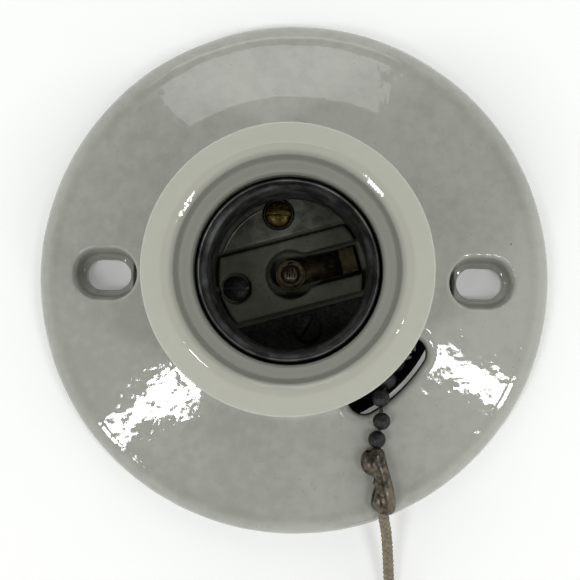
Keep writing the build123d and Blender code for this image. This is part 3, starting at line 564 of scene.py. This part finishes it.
def porcelain_body():
    """The glazed body: a turned solid with the bar, slots and hollows, its edges softened as by glaze."""
    body = lathe("body", rounded([
        (0, 23.5, 0), (17.5, 23.5, 0.8), (17.5, 6.5, 0.8), (29.0, 6.5, 0.8), (29.0, 0, 0.5),
        (47.6, 0, 0.8), (47.6, 7.2, 3.3), (43.8, 7.2, 3.0), (33.5, 9.4, 14), (28.5, 10.0, 0),
        (22.4, 10.6, 4.9), (22.4, 52.4, 1.2), (18.8, 54.55, 1.5), (17.2, 54.0, 0.5),
        (16.6, 52.3, 0.5), (15.0, 51.5, 0.4), (14.5, 50.9, 0.3), (14.5, 28.0, 0.5), (0, 28.0, 0),
    ]), steps=288)
    bar_outline = [
        (x, y) for x, y in circle_outline((0, 0), BAR_END, 180)
        if abs(-x * math.sin(math.radians(BAR_AZ)) + y * math.cos(math.radians(BAR_AZ))) <= BAR_HALF_WIDTH
    ]
    bar = prism("bar", bar_outline, PARTITION_TOP - 1, BAR_TOP)
    channel = box_outline(polar(BAR_END / 2 + 0.6, BAR_AZ), BAR_END + 1.0, CHANNEL_WIDTH, BAR_AZ)

    def hollows(channel_floor):
        """The contact's recess and channel, and the bar screw's counterbore."""
        return [
            prism("recess", circle_outline((0, 0), RECESS_R), CHANNEL_FLOOR, ABOVE_BAR),
            prism("channel", channel, channel_floor, ABOVE_BAR),
            prism("counterbore", circle_outline(BAR_SCREW, COUNTERBORE_R), COUNTERBORE_FLOOR, ABOVE_BAR),
        ]

    cut(bar, hollows(CHANNEL_FLOOR))
    slot_half = (SLOT_OUTER - SLOT_INNER) / 2
    slot_middle = SLOT_INNER + slot_half
    slot_rim = SLOT_OUTER + SLOT_LIP
    lip = []
    for angle in range(0, 91, 10):
        outward, down = 1 - math.sin(math.radians(angle)), 1 - math.cos(math.radians(angle))
        lip.append((SLOT_OUTER + SLOT_LIP * outward, SLOT_RIM_Z - SLOT_LIP * down))
    inner_wall = [(SLOT_INNER, SLOT_LOW), (SLOT_INNER, SLOT_HIGH)]
    chain_slot = [(SLOT_OUTER, SLOT_LOW)] + inner_wall + [(slot_rim, SLOT_HIGH)] + lip
    end_arc = math.degrees(slot_half / slot_middle)
    holes = [sector_ring("slot_middle", chain_slot, SLOT_AZ + end_arc, SLOT_ARC - 2 * end_arc)]
    for end_az in (SLOT_AZ + end_arc, SLOT_AZ + SLOT_ARC - end_arc):
        end = [(0, SLOT_LOW), (slot_half, SLOT_LOW)] + [(r - slot_middle, z) for r, z in lip[::-1]]
        end += [(slot_half + SLOT_LIP, SLOT_END_HIGH), (0, SLOT_END_HIGH)]
        hole = lathe("slot_end", end, 96, smooth=False)
        hole.data.transform(Matrix.Translation(polar(slot_middle, end_az) * MM))
        holes.append(hole)
    # the body's channel stops just above the recess floor, so that the two floors never coincide
    cutters = hollows(CHANNEL_FLOOR + 0.01) + [voxel_remesh(join("chain_slot", holes), SLOT_VOXEL)]
    load_slot = box_outline(polar(LOAD_SLOT_R, BAR_AZ), *LOAD_SLOT_SIZE, BAR_AZ)
    cutters.append(prism("load_slot", load_slot, LOAD_SLOT_LOW, LOAD_SLOT_HIGH))
    for side in (-1, 1):
        at = (side * MOUNT_X, 0)
        cutters.append(tapered_slot(
            "recess", at, MOUNT_RECESS_TOP, MOUNT_RECESS_FOOT, MOUNT_RECESS_HIGH, MOUNT_RECESS_LOW
        ))
        cutters.append(tapered_slot("slot", at, MOUNT_SLOT, MOUNT_SLOT, MOUNT_SLOT_HIGH, MOUNT_SLOT_LOW))
    cut(body, cutters)
    body = join("porcelain", [body, bar])
    voxel_remesh(body, BODY_VOXEL)
    relax(body, 4)
    ripple(body, ((16, 0.10), (5, 0.035)))
    return finish_piece(body, "holder", GLAZE, "porcelain", "porcelain_body")


# --------------------------------------------------------------------- the socket

THREAD_PITCH = 3.629
SHELL_MID, SHELL_WAVE, SHELL_SHEET = 12.975, 0.425, 0.38
SHELL_LOW, SHELL_TOP = 28.15, 48.5


def screw_shell():
    """Thin sheet rolled into a real right-hand thread, plain at its foot and flared at its mouth."""
    around, up = 192, 150
    vertices, faces = [], []
    for offset in (0.0, SHELL_SHEET):
        for i in range(up + 1):
            z = SHELL_LOW + (SHELL_TOP - SHELL_LOW) * i / up
            foot = min(1, max(0, (z - SHELL_LOW - 0.7) / 1.8))
            mouth = min(1, max(0, (SHELL_TOP - 0.5 - z) / 1.6))
            for k in range(around):
                turn = k / around
                phase = 2 * math.pi * ((z - SHELL_LOW) / THREAD_PITCH - turn)
                wave = SHELL_WAVE * math.cos(phase) * foot * mouth
                flare = (1 - mouth) * 0.75 + (1 - foot) * 0.3
                r = SHELL_MID + wave + flare + offset
                vertices.append(polar(r, 360 * turn, z))
    layer = (up + 1) * around
    for side in (0, 1):
        for i in range(up):
            for k in range(around):
                n = (k + 1) % around
                low, high = side * layer + i * around, side * layer + (i + 1) * around
                faces.append([low + k, low + n, high + n, high + k])
    for row in (0, up * around):
        for k in range(around):
            n = (k + 1) % around
            faces.append([row + k, row + n, layer + row + n, layer + row + k])
    shell = add_object("screw_shell_thread", vertices, faces)
    return finish_piece(shell, "holder", SHELL, "shell_metal", "screw_shell")


def floor_plate(name, side, material):
    """One segment of the shell's floor, beside the bar, with a soft turned-up rim."""
    outline = []
    across = Vector((-math.sin(math.radians(BAR_AZ)), math.cos(math.radians(BAR_AZ))))
    for x, y in circle_outline((0, 0), 12.95, 200):
        if side * (x * across.x + y * across.y) >= 6.3:
            outline.append((x, y))
    level = Matrix.Rotation(math.radians(-BAR_AZ), 2)
    outline.sort(key=lambda p: math.atan2(*((level @ Vector(p)).yx)) * side)
    plate = prism(name, outline, 28.0, 28.4)
    bevel_edges(plate, 0.12, 3)
    return finish_piece(plate, "holder", material, "shell_metal")


def slotted_head(name, at, top, radius, height, slot_az, shank_low, dome=0.35, slot_width=0.62):
    """A screw with a domed, slotted head and its shank, as one mesh in mm."""
    profile = [(0, top)]
    for k in range(1, 7):
        share = k / 7
        profile.append((radius * 0.92 * share, top - dome * share ** 2.2))
    profile += [
        (radius * 0.985, top - dome - 0.12), (radius, top - dome - 0.3),
        (radius, top - height + 0.1), (radius - 0.1, top - height),
        (1.25, top - height), (1.25, shank_low), (0, shank_low),
    ]
    screw = lathe(name, profile, 72)
    slot = box_outline((0, 0), 3 * radius, slot_width, slot_az)
    cut(screw, [prism("slot", slot, top - height * 0.62, top + 1)])
    bevel_edges(screw, 0.07, 2, 40)
    screw.data.transform(Matrix.Translation(Vector((at.x, at.y, 0)) * MM))
    return screw


def socket_parts():
    """Everything seen down the socket except the porcelain."""
    screw_shell()
    floor_plate("upper_floor_plate", 1, PLATE)
    floor_plate("lower_floor_plate", -1, BURNT_AND_SHADED)
    arc = [polar(11.95, az, 28.42) for az in np.linspace(112, 165, 50)]
    rib = tube("floor_plate_rib", arc, lambda s: 0.22 * min(1, 8 * s + 0.2, 8 * (1 - s) + 0.2), 12)
    finish_piece(rib, "holder", PLATE, "shell_metal")

    upper = slotted_head("upper_screw", UPPER_SCREW, 30.1, 2.1, 1.3, 1.0, 22.0, slot_width=0.55)
    finish_piece(upper, "holder", BRASS, "brass", "upper_shell_screw")
    ring = lathe("upper_screw_cup", [
        (1.5, 28.42), (2.65, 28.42), (2.72, 28.55), (2.55, 28.9), (2.3, 29.05), (2.2, 28.8), (1.5, 28.75),
    ], 72)
    ring.data.transform(Matrix.Translation(UPPER_SCREW * MM))
    finish_piece(ring, "holder", DARK_STEEL, "contact_metal", "upper_screw_washer")
    lower = slotted_head("lower_screw", LOWER_SCREW, 29.7, 2.2, 1.3, 60.0, 22.0)
    finish_piece(lower, "holder", BURNT_AND_SHADED, "dark_screw", "lower_shell_screw")
    side = slotted_head("bar_slotted_screw", BAR_SCREW, 29.8, 2.1, 1.2, 2.0, 22.0)
    finish_piece(side, "holder", DARK_STEEL, "dark_screw", "bar_screw")


def centre_contact():
    """Spring leaf in the channel, its ring and the serrated pip."""
    leaf_line = [(8.6, 26.2), (7.2, 26.2), (6.2, 26.45), (4.2, 27.05), (2.9, 27.35), (0, 27.4)]
    outward, across = polar(1, BAR_AZ), polar(1, BAR_AZ + 90)
    vertices, faces = [], []
    for r, z in leaf_line:
        for side, lift in ((-2.1, -0.2), (2.1, -0.2), (2.1, 0.2), (-2.1, 0.2)):
            vertices.append(outward * r + across * side + Vector((0, 0, z + lift)))
    for i in range(len(leaf_line) - 1):
        for k in range(4):
            n = (k + 1) % 4
            faces.append([4 * i + k, 4 * i + n, 4 * i + 4 + n, 4 * i + 4 + k])
    faces += [[3, 2, 1, 0], [4 * len(leaf_line) - 4 + k for k in range(4)]]
    strip = add_object("strip", vertices, faces)
    ring = lathe("ring", [
        (0, 27.2), (2.5, 27.2), (2.65, 27.3), (2.65, 27.62), (2.5, 27.76), (2.3, 27.72), (2.15, 27.58),
        (1.75, 27.6), (0, 27.6),
    ], 72)
    leaf = join("centre_leaf", [strip, ring])
    finish_piece(leaf, "centre_contact", CONTACT, "contact_metal", "centre_contact_leaf")
    pip = lathe("pip", [
        (0, 28.72), (0.5, 28.7), (0.95, 28.6), (1.3, 28.4), (1.5, 28.12), (1.6, 27.8), (1.62, 27.6),
        (0, 27.6),
    ], 72)
    groove_pitch, groove_width, groove_length, groove_az = 0.42, 0.17, 1.5, 6
    grooves = []
    for k in (-1.5, -0.5, 0.5, 1.5):
        outline = box_outline((groove_pitch * k, 0.35), groove_width, groove_length, groove_az)
        grooves.append(prism("groove", outline, 28.42, 29.5))
    cut(pip, grooves)
    pip.name = "centre_pip"
    finish_piece(pip, "centre_contact", SILVER, "pip_silver", "centre_contact_pip")


# ------------------------------------------------------------------ chain and cord

END_BEAD = Vector((21.02, -12.38, 2.15))
SEAT_BEAD = Vector((21.02, -12.38, 6.45))
INNER_BEAD = Vector((19.35, -15.05, 8.30))
MIDDLE_BEAD = Vector((17.75, -18.10, 10.20))
LEAD_BEAD = Vector((16.55, -21.40, 11.90))
OUTER_BEAD_1 = Vector((16.80, -25.55, 11.60))
OUTER_BEAD_2 = Vector((16.04, -28.90, 11.30))
HELD_BEAD = Vector((15.45, -33.20, 11.10))
COUPLING_LOW = Vector((17.80, -40.20, 9.70))
BEAD_R = 1.6
LINK_R = 0.33
LINK_REACH = 0.25
SEAM_DEPTH = 0.03


def bead(name, centre, before, after, body, *replaced):
    """A hollow bead pressed from sheet: round, with a seam and a rimmed hole at each end."""
    profile = [(0, 1.2), (0.5, 1.2), (0.56, 1.42)]
    for k in range(13, 168, 5):
        angle = math.radians(max(21, min(159, k)))
        seam = SEAM_DEPTH if abs(k - 90) < 3 else 0.0
        profile.append(((BEAD_R - seam) * math.sin(angle), (BEAD_R - seam) * math.cos(angle)))
    profile += [(0.56, -1.42), (0.5, -1.2), (0, -1.2)]
    ball = lathe(name, profile, 48)
    along = (after - before).normalized()
    turn = Vector((0, 0, 1)).rotation_difference(along).to_matrix().to_4x4()
    ball.data.transform(Matrix.Translation(centre * MM) @ turn)
    return finish_piece(ball, body, NICKEL, "chain_metal", *replaced)


def wire(name, start, end, body, *replaced):
    """A link wire from inside the bead at its start to just inside the bead at its end."""
    length = (end - start).length
    tip = start.lerp(end, (length - BEAD_R + LINK_REACH) / length)
    points = [start.lerp(tip, k / 6) for k in range(7)]
    return finish_piece(tube(name, points, LINK_R, 14), body, NICKEL, "chain_metal", *replaced)


def chain():
    """The bead chain from the lever's fork to the coupling."""
    bead("end_bead", END_BEAD, END_BEAD, SEAT_BEAD, "lever", "lever_beads")
    bead("seat_bead", SEAT_BEAD, END_BEAD, INNER_BEAD, "lever")
    wire("fork_wire", END_BEAD, SEAT_BEAD, "lever", "fork_link")
    bead("inner_bead_shell", INNER_BEAD, SEAT_BEAD, MIDDLE_BEAD, "inner_bead", "chain_bead_inner")
    wire("inner_wire", SEAT_BEAD, INNER_BEAD, "lever", "inner_link")
    bead("middle_bead_shell", MIDDLE_BEAD, INNER_BEAD, LEAD_BEAD, "middle_bead", "chain_bead_middle")
    wire("middle_wire", INNER_BEAD, MIDDLE_BEAD, "inner_bead", "middle_link")
    bead("lead_bead_shell", LEAD_BEAD, MIDDLE_BEAD, OUTER_BEAD_1, "pulled_bead", "chain_bead_lead")
    wire("lead_wire", LEAD_BEAD, MIDDLE_BEAD, "pulled_bead", "lead_link")
    bead("outer_bead_1", OUTER_BEAD_1, LEAD_BEAD, OUTER_BEAD_2, "chain_tail", "chain_beads_outer")
    bead("outer_bead_2", OUTER_BEAD_2, OUTER_BEAD_1, HELD_BEAD, "chain_tail")
    bead("held_bead", HELD_BEAD, OUTER_BEAD_2, COUPLING_LOW, "chain_tail")
    wire("outer_wire_1", OUTER_BEAD_1, LEAD_BEAD, "chain_tail", "outer_links")
    wire("outer_wire_2", OUTER_BEAD_1, OUTER_BEAD_2, "chain_tail")
    wire("outer_wire_3", OUTER_BEAD_2, HELD_BEAD, "chain_tail")


def ellipsoid(name, centre, radii, az=0.0):
    """An ellipsoid in mm, turned about Z."""
    mesh = bpy.data.meshes.new(name)
    shape = bmesh.new()
    bmesh.ops.create_uvsphere(shape, u_segments=48, v_segments=32, radius=1)
    shape.to_mesh(mesh)
    shape.free()
    place = Matrix.Translation(Vector(centre) * MM) @ Matrix.Rotation(math.radians(az), 4, "Z")
    mesh.transform(place @ Matrix.Diagonal((*[r * MM for r in radii], 1)))
    obj = bpy.data.objects.new(name, mesh)
    scene.collection.objects.link(obj)
    return obj


def coupling():
    """Folded sheet: a straight fold on the right, and two cups on the left with a gap between them."""
    sheet = 0.42
    fold = [
        (16.0, -31.8, 11.1), (16.45, -33.8, 10.95), (17.1, -36.2, 10.5), (17.75, -38.6, 10.0),
        (18.1, -41.0, 9.6),
    ]

    def blank(shrink):
        """The coupling as a solid, smaller all round by shrink."""
        parts = [
            tube("fold", fold, lambda s: 1.6 + 0.25 * s - shrink, 32),
            ellipsoid("fold_top", fold[0], [1.6 - shrink] * 3),
            ellipsoid("fold_foot", fold[-1], [1.85 - shrink, 1.85 - shrink, 1.75 - shrink]),
            ellipsoid("upper_cup", (15.15, -33.05, 11.1), (1.95 - shrink, 2.45 - shrink, 1.85 - shrink), 10),
            ellipsoid("lower_cup", (17.0, -39.9, 9.85), (1.85 - shrink, 2.75 - shrink, 1.9 - shrink), 8),
        ]
        return join("blank", parts)

    body = blank(0.0)
    voxel_remesh(body, 0.13)
    relax(body, 5)
    inside = blank(sheet)
    voxel_remesh(inside, 0.13)
    openings = [
        ellipsoid("mouth", (14.75, -30.4, 11.4), (0.75, 1.2, 1.0), -10),
        ellipsoid("waist", (14.7, -36.4, 10.9), (1.3, 0.8, 2.4), 20),
        ellipsoid("gap", (15.35, -38.9, 10.2), (0.62, 2.1, 1.5), -12),
        ellipsoid("outlet", (18.0, -42.6, 9.35), (1.25, 0.9, 1.15), 0),
    ]
    cut(body, [inside] + openings)
    voxel_remesh(body, 0.11)
    relax(body, 3)
    ripple(body, ((3.0, 0.06), (1.1, 0.015)))
    body.name = "coupling_sheet"
    return finish_piece(body, "chain_tail", BRONZE, "coupling_metal", "chain_coupling")


def smooth_path(points, spacing):
    """Points at even spacing along a smooth curve through the given points."""
    points = [Vector(p) for p in points]
    ends = [2 * points[0] - points[1]] + points + [2 * points[-1] - points[-2]]
    dense = []
    for i in range(1, len(ends) - 2):
        before, a, b, after = ends[i - 1:i + 3]
        for k in range(40):
            t = k / 40
            dense.append(0.5 * (
                2 * a + (b - before) * t + (2 * before - 5 * a + 4 * b - after) * t * t
                + (3 * a - before - 3 * b + after) * t ** 3
            ))
    dense.append(points[-1])
    length = np.r_[0, np.cumsum([(q - p).length for p, q in zip(dense, dense[1:])])]
    count = max(2, round(length[-1] / spacing))
    marks = np.linspace(0, length[-1], count + 1)
    columns = [np.interp(marks, length, [p[axis] for p in dense]) for axis in range(3)]
    return [Vector(p) for p in zip(*columns)]


def braid(name, path, radius=1.1, pitch=5.2, strands=5):
    """A round braid: strands wind both ways round the path and pass over and under each other."""
    count = len(path)
    frames = []
    tangent = (path[1] - path[0]).normalized()
    normal = tangent.orthogonal().normalized()
    travelled = 0.0
    for i, point in enumerate(path):
        ahead = path[min(i + 1, count - 1)]
        behind = path[max(i - 1, 0)]
        tangent = (ahead - behind).normalized()
        normal = (normal - tangent * normal.dot(tangent)).normalized()
        if i:
            travelled += (point - path[i - 1]).length
        frames.append((point, normal, tangent.cross(normal), travelled))
    strand_r = radius * 0.33
    middle = radius * 0.62
    weave = radius * 0.12
    pieces = []
    for hand in (1, -1):
        for k in range(strands):
            line = []
            for point, normal, side, s in frames:
                angle = hand * 2 * math.pi * s / pitch + 2 * math.pi * k / strands
                lift = middle + hand * weave * math.cos(2 * math.pi * strands * s / pitch)
                line.append(point + lift * (math.cos(angle) * normal + math.sin(angle) * side))
            pieces.append(tube("strand", line, strand_r, 8))
    core = tube("core", [f[0] for f in frames], radius * 0.55, 10)
    return join(name, pieces + [core])


def cord():
    """Braided cord from the coupling, over the rim and along the floor to a knot."""
    points = [
        (17.45, -41.6, 9.5), (17.75, -43.4, 8.9), (18.5, -47.5, 7.0), (19.3, -56.0, 3.0),
        (19.8, -64.0, 1.35), (20.6, -74.0, 1.25), (18.6, -86.0, 1.25), (19.6, -96.0, 1.7),
        (19.6, -98.0, 2.0),
    ]
    line = braid("cord_braid", smooth_path(points, 0.32), radius=1.02)
    finish_piece(line, "cord", COTTON, "cord_cotton", "pull_cord")
    knot_centre = Vector((19.6, -98.1, 2.35))
    knot_size = 0.4805
    loop = []
    for k in range(150):
        t = 2 * math.pi * k / 150
        loop.append(knot_centre + knot_size * Vector((
            math.sin(t) + 2 * math.sin(2 * t), -math.sin(3 * t), math.cos(t) - 2 * math.cos(2 * t),
        )))
    knot = braid("cord_end_knot", loop + [loop[0]], radius=0.85, pitch=4.5)
    finish_piece(knot, "cord", COTTON, "cord_cotton")
    tail_points = [(19.6, -98.8, 2.1), (19.4, -100.4, 1.7), (19.1, -101.8, 1.35)]
    tail = braid("cord_tail", smooth_path(tail_points, 0.3), radius=1.0)
    finish_piece(tail, "cord", COTTON, "cord_cotton")
    inner_knot = ellipsoid("cord_inner_knot", COUPLING_LOW, (1.3, 1.5, 1.3))
    finish_piece(inner_knot, "chain_tail", COTTON, "cord_cotton", "cord_knot")


# -------------------------------------------------- carried-over mechanism finishes

NODE_FINISH = {
    ZINC: (
        "neutral_terminal_screw", "frame_top_plate", "frame_back_plate", "frame_pillars", "spindle",
        "thrust_washer", "cover_screws", "pull_lever", "pawl_pin", "drive_pawl", "ratchet_wheel",
    ),
    BRASS: ("line_terminal_screw",),
    CONTACT: ("load_contact", "line_contact", "neutral_strap", "rotor_contact"),
    SPRING: ("spindle_clip", "detent_spring", "return_spring", "pawl_spring"),
    FIBRE: ("back_cover",),
    PHENOLIC: ("contact_rotor",),
}


def mechanism():
    """Finishes for the CAD nodes that show as they are."""
    for material, names in NODE_FINISH.items():
        for name in names:
            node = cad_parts[name]
            node.data.materials.clear()
            node.data.materials.append(material)


# ----------------------------------------------------------------- floor, light, camera

FLOOR_Z = -0.1
FLOOR_SIDE = 6000
FLOOR_GLOW = 0.15
SHADE_DISC_R, SHADE_DISC_TOP = 28.3, 0.02
SKY_HORIZON, SKY_ZENITH = 0.98, 0.05


def studio():
    """Pale floor, soft light from all round, two window-like lights low on the chain's side, and a
    near-black disc of painted shade under the base.
    """
    corners = box_outline((0, 0), FLOOR_SIDE, FLOOR_SIDE, 0)
    floor = add_object("floor", [(x, y, FLOOR_Z) for x, y in corners], [[0, 1, 2, 3]])
    paint = plain_material("pale_floor", (0.96, 0.96, 0.96), (0.97, 0.97, 0.97), 0.9, 40, 0.0)
    glow = paint.node_tree.nodes["Principled BSDF"]
    glow.inputs["Emission Color"].default_value = (1, 1, 1, 1)
    glow.inputs["Emission Strength"].default_value = FLOOR_GLOW
    floor.data.materials.append(paint)
    # a near-black disc on the floor in the hollow under the base: painted shade, seen through the slots
    shade_disc = lathe("painted_shade_disc", [(0, FLOOR_Z), (SHADE_DISC_R, FLOOR_Z), (SHADE_DISC_R, SHADE_DISC_TOP), (0, SHADE_DISC_TOP)], 96)
    disc_shade_paint = plain_material("painted_shade_black", (0.004, 0.004, 0.004), (0.008, 0.008, 0.007), 1.0, 1.0, 0.01)
    shade_disc.data.materials.append(disc_shade_paint)

    world = bpy.data.worlds.new("studio")
    scene.world = world
    world.use_nodes = True
    tree = world.node_tree
    background = tree.nodes["Background"]
    coordinates = tree.nodes.new("ShaderNodeTexCoord")
    split = tree.nodes.new("ShaderNodeSeparateXYZ")
    ramp = tree.nodes.new("ShaderNodeMapRange")
    ramp.interpolation_type = "SMOOTHSTEP"
    ramp.inputs["From Min"].default_value = 0.5
    ramp.inputs["From Max"].default_value = 0.95
    ramp.inputs["To Min"].default_value = SKY_HORIZON
    ramp.inputs["To Max"].default_value = SKY_ZENITH
    tree.links.new(coordinates.outputs["Generated"], split.inputs[0])
    tree.links.new(split.outputs["Z"], ramp.inputs["Value"])
    tree.links.new(ramp.outputs["Result"], background.inputs["Strength"])
    background.inputs["Color"].default_value = (0.97, 1.0, 0.96, 1)

    def panel(name, azimuth, tilt, distance, size, power):
        """A soft light at an azimuth, tilted from the vertical, aimed at the base."""
        data = bpy.data.lights.new(name, "AREA")
        data.shape = "RECTANGLE"
        data.size, data.size_y = size
        data.energy = power
        light = bpy.data.objects.new(name, data)
        scene.collection.objects.link(light)
        away = polar(math.sin(math.radians(tilt)), azimuth, math.cos(math.radians(tilt)))
        side = polar(1, azimuth + 90)
        back = away.cross(side) * -1
        turn = Matrix((side, back, away)).transposed().to_4x4()
        light.matrix_world = Matrix.Translation(away * distance) @ turn

    panel("left_window", 219.5, 28.0, 1.0, (0.07, 0.30), 1.7)
    panel("right_window", 334.5, 28.0, 1.0, (0.07, 0.30), 1.7)
    panel("top_wall", 96.5, 38.0, 1.2, (0.75, 0.30), 1.2)


def camera():
    """Straight above the object, a little off its axis, as in the reference view."""
    data = bpy.data.cameras.new("camera")
    data.sensor_width = 36.0
    data.lens = 81.4
    eye = bpy.data.objects.new("camera", data)
    scene.collection.objects.link(eye)
    place = Vector((0.0046, -0.00769, 0.250))
    target = Vector((-0.00065, -0.00192, 0.0))
    up = Vector((-0.0255, 0.9997, 0.0))
    back = (place - target).normalized()
    right = up.cross(back).normalized()
    true_up = back.cross(right)
    eye.matrix_world = Matrix.Translation(place) @ Matrix((right, true_up, back)).transposed().to_4x4()
    scene.camera = eye


scene.view_settings.view_transform = "Standard"
porcelain_body()
socket_parts()
centre_contact()
chain()
coupling()
cord()
mechanism()
studio()
camera()
